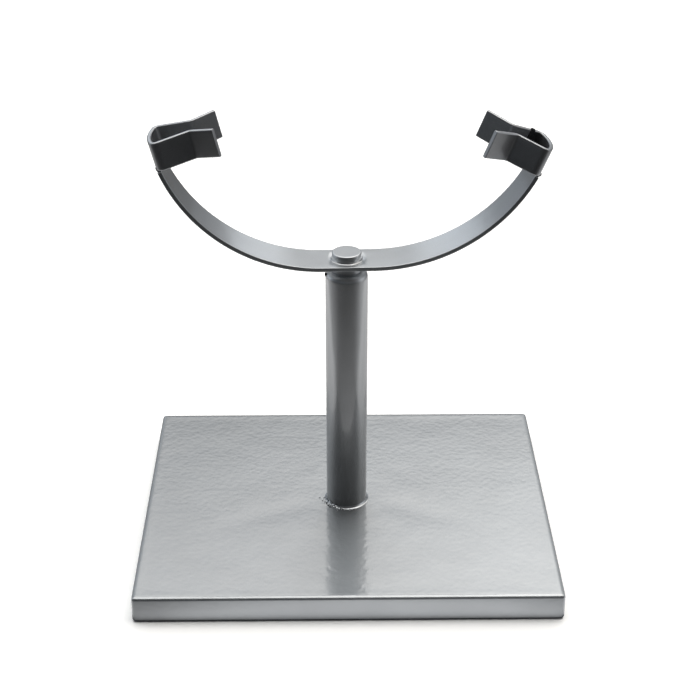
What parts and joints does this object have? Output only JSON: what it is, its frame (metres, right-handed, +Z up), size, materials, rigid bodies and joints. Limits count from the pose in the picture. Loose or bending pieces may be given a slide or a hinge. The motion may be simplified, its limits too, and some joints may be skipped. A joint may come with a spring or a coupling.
{
  "type": "soldering iron stand",
  "caption": "Heavy rectangular plate with a round post, topped by a swivelling bent-bar yoke that carries an inward-facing flared spring clip on each end.",
  "frame": {"origin": "centre of the plate's underside", "axes": "+Z up along the post, +X to the right along the plate's longer side, +Y to the back"},
  "size_m": [0.15, 0.125, 0.1613],
  "materials": {
    "plate_paint": "silver-grey metallic powder coat, semi-gloss, fine orange peel",
    "post_paint": "silver-grey metallic powder coat, semi-gloss, fine orange peel",
    "weld_paint": "silver-grey coat over a weld bead, glossy on its ripples",
    "spindle_paint": "silver-grey metallic coat over a turned end",
    "yoke_paint": "silver-grey metallic coat, satin, faintly mottled",
    "clip_paint": "silver-grey metallic coat over spring steel, satin"
  },
  "bodies": {
    "base": {"base_plate": "plate_paint", "post": "post_paint", "post_weld": "weld_paint"},
    "yoke": {"spindle": "spindle_paint", "yoke_strap": "yoke_paint", "spindle_weld": "weld_paint", "left_clip": "clip_paint", "right_clip": "clip_paint", "left_clip_weld": "weld_paint", "right_clip_weld": "weld_paint"}
  },
  "joints": [
    {"name": "yoke_swivel", "type": "hinge", "parent": "base", "child": "yoke", "pos_m": [0, 0, 0.105], "axis": [0, 0, 1], "continuous": true}
  ]
}
